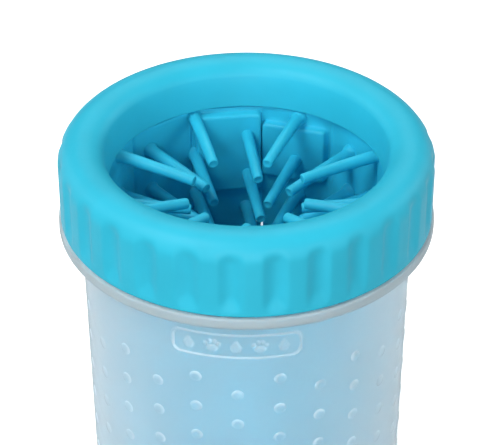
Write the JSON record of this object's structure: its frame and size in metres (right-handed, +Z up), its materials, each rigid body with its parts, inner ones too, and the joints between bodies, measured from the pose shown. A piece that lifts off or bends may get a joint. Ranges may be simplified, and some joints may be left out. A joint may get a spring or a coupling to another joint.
{
  "type": "paw washer cup",
  "caption": "Frosted cup with a screw-on grip ring, an open throat and a rolled silicone mat whose soft bristles point inwards to scrub a paw.",
  "frame": {"origin": "centre of the base, on the surface the cup stands on", "axes": "+Z up along the cup's axis, the badge faces -Y"},
  "size_m": [0.1, 0.1, 0.1518],
  "materials": {
    "frosted_plastic": "frosted translucent",
    "ring_plastic": "soft satin",
    "mat_silicone": "matte silicone",
    "seal_silicone": "matte silicone"
  },
  "bodies": {
    "cup": {"cup": "frosted_plastic", "bristle_mat": "mat_silicone", "bristles": "mat_silicone"},
    "seal": {"seal": "seal_silicone"},
    "ring": {"grip_ring": "ring_plastic"}
  },
  "joints": [
    {"name": "ring_rise", "type": "slide", "parent": "cup", "child": "seal", "axis": [0, 0, 1], "range_m": [0, 0.0046]},
    {"name": "ring_turn", "type": "hinge", "parent": "seal", "child": "ring", "pos_m": [0, 0, 0.13], "axis": [0, 0, 1], "range_deg": [0, 360]}
  ],
  "couplings": [
    {"joint": "ring_rise", "follows": "ring_turn", "m_per_rad": 0.0007162}
  ]
}
